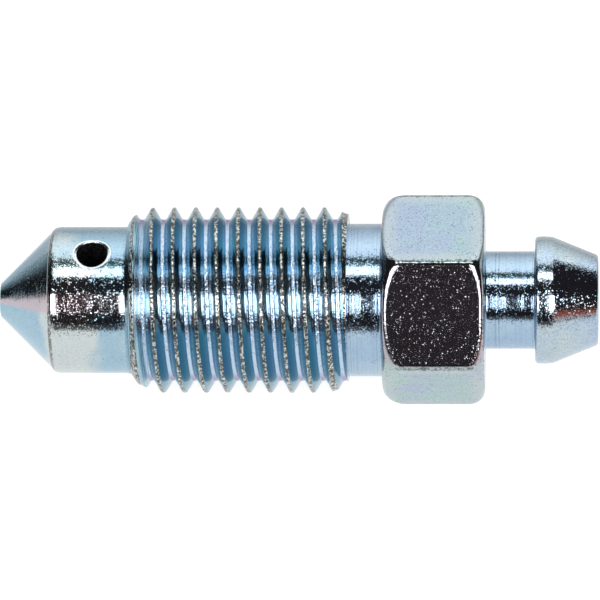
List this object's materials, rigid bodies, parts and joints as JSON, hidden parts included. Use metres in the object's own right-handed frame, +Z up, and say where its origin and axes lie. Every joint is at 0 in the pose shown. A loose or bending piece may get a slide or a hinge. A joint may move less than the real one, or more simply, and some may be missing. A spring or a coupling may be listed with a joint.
{
  "type": "bleeder screw",
  "caption": "Brake bleeder screw turned from hexagon bar: cone seat, cross-drilled pilot, threaded shank, hexagon and barbed hose nipple with an axial passage.",
  "frame": {"origin": "on the surface that the screw lies on, under the middle of its length and under its axis", "axes": "+X along the screw's axis from the cone seat to the hose nipple, +Z up from the surface, with one flat of the hexagon up and one down"},
  "size_m": [0.0354, 0.0126, 0.011],
  "materials": {
    "zinc_plated_steel": "bright zinc plate with a blue passivation, lathe marks and fine pits"
  },
  "bodies": {
    "root": {"bleeder_screw": "zinc_plated_steel"}
  },
  "joints": []
}
